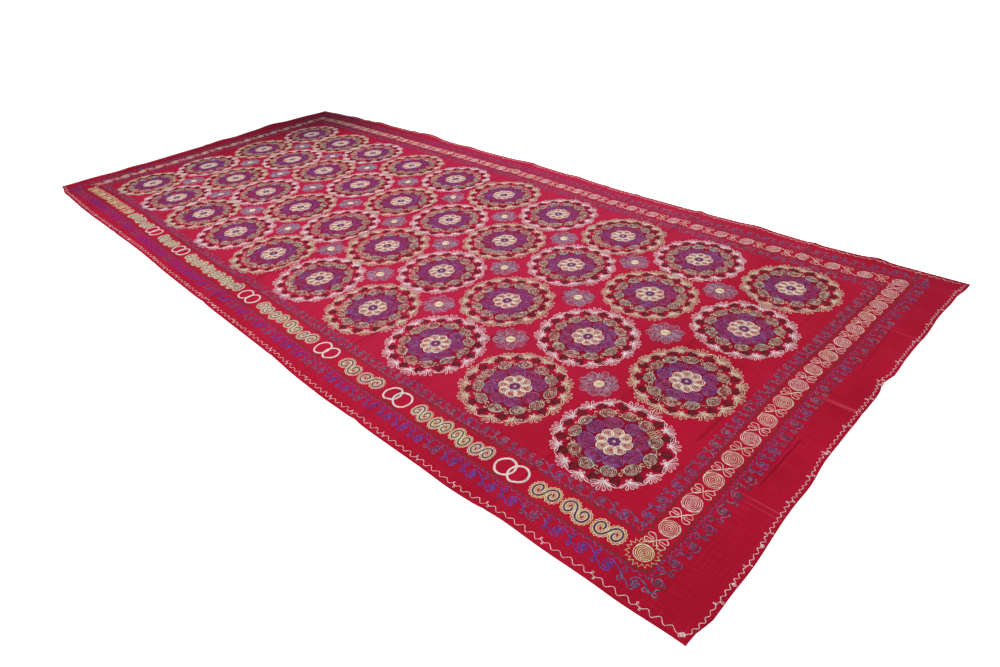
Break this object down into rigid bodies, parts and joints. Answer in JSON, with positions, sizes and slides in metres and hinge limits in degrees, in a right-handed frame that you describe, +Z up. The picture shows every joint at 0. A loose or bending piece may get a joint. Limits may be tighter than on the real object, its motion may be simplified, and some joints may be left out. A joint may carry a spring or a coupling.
{
  "type": "embroidered suzani textile",
  "caption": "Long red cotton cloth lying flat, with chain-stitched round medallions, small rosettes and scroll borders, and pressed folds.",
  "frame": {"origin": "middle of the footprint, on the surface that the cloth lies on", "axes": "+X along the length towards the near end of the picture, +Y across the width away from the front long side, +Z up"},
  "size_m": [5.0169, 2.2972, 0.012],
  "materials": {
    "cloth": "red cotton, matt with a slight sheen",
    "thread": "lustrous embroidery thread in cream, white, violet, grey green, dark maroon, blue and dark green"
  },
  "bodies": {
    "root": {"cloth": "cloth"}
  },
  "joints": []
}
